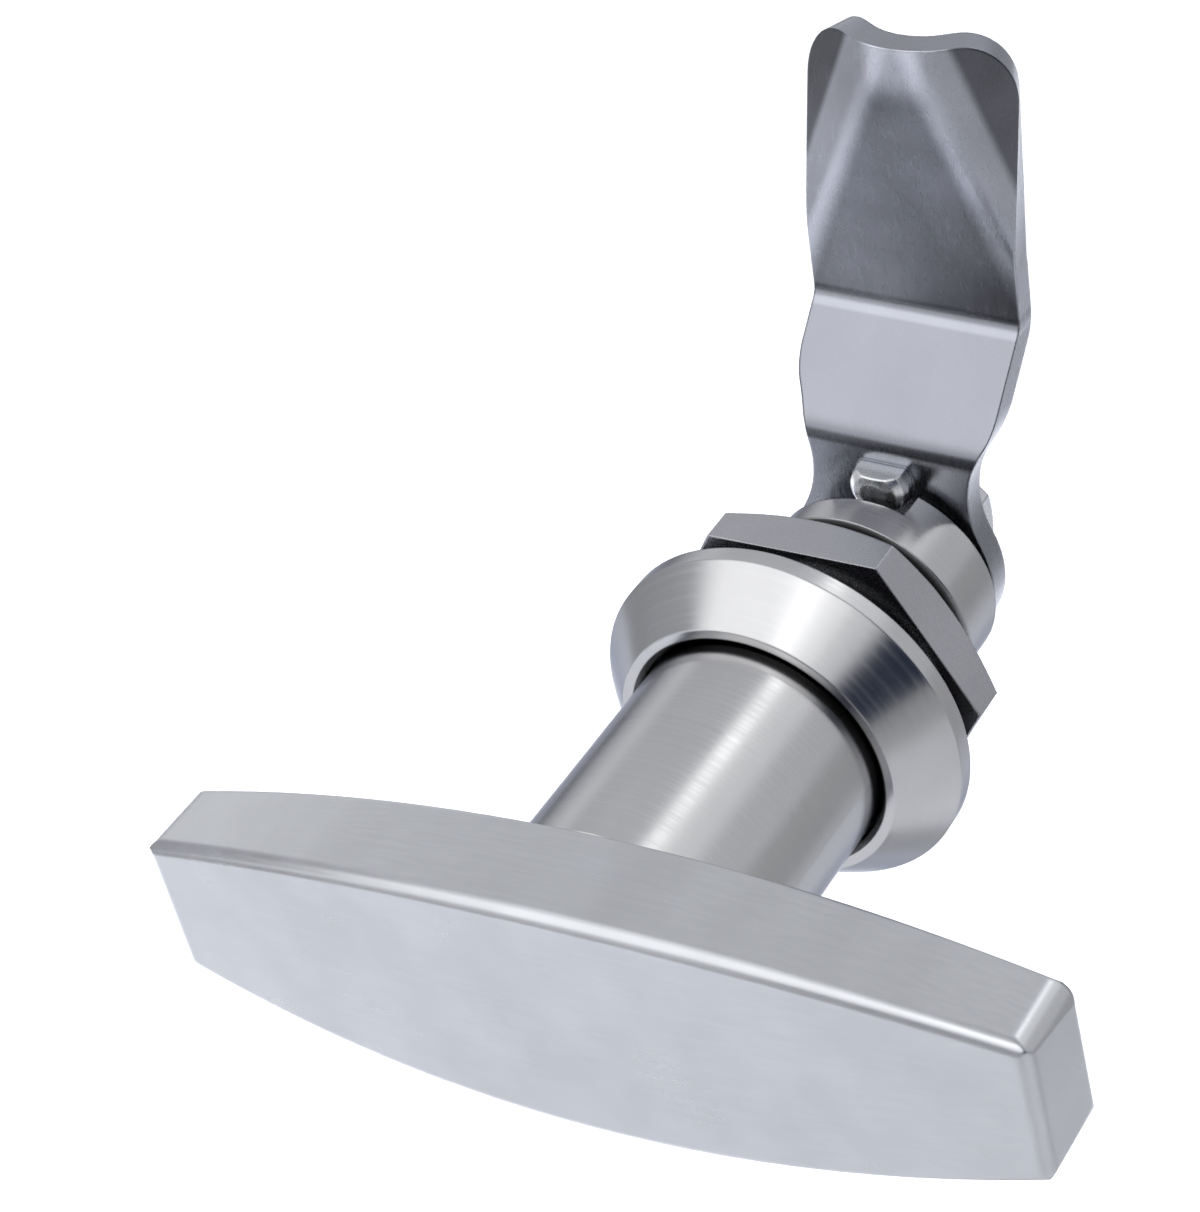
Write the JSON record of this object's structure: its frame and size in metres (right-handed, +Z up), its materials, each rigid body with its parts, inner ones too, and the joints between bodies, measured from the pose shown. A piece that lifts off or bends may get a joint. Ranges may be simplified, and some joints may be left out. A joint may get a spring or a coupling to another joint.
{
  "type": "enclosure t-handle",
  "caption": "Quarter-turn T-handle cam latch: barrel-shaped bar on a round stem, conical flange, threaded barrel with hexagon nut, and an offset cam with swept-back tip.",
  "frame": {"origin": "on the barrel's axis, in the back plane of the flange", "axes": "+Y along the barrel's axis into the enclosure, +Z up, +X along the handle bar to the right of someone facing the door"},
  "size_m": [0.0796, 0.0731, 0.0635],
  "materials": {
    "satin_steel": "satin ground stainless steel, fine grain along the bar",
    "turned_steel": "bright turned stainless steel with fine lathe grain",
    "cam_steel": "blanked and bent sheet, satin, slightly mottled",
    "nut_steel": "matt milled stainless steel",
    "black_rubber": "matt black rubber",
    "bearing_plastic": "matt natural plastic",
    "spring_steel": "dark oiled spring steel"
  },
  "bodies": {
    "housing": {"housing": "turned_steel", "panel_gasket": "black_rubber", "mounting_nut": "nut_steel", "thrust_washer": "bearing_plastic"},
    "rotor": {"handle_bar": "satin_steel", "handle_stem": "turned_steel", "bar_set_screw": "spring_steel", "spindle_o_ring": "black_rubber", "disc_spring": "spring_steel", "retaining_ring": "spring_steel", "cam": "cam_steel", "cam_washer": "nut_steel", "cam_lock_washer": "spring_steel", "cam_screw": "nut_steel"}
  },
  "joints": [
    {"name": "handle_turn", "type": "hinge", "parent": "housing", "child": "rotor", "pos_m": [0, 0, 0], "axis": [0, 1, 0], "range_deg": [-90, 0]}
  ]
}
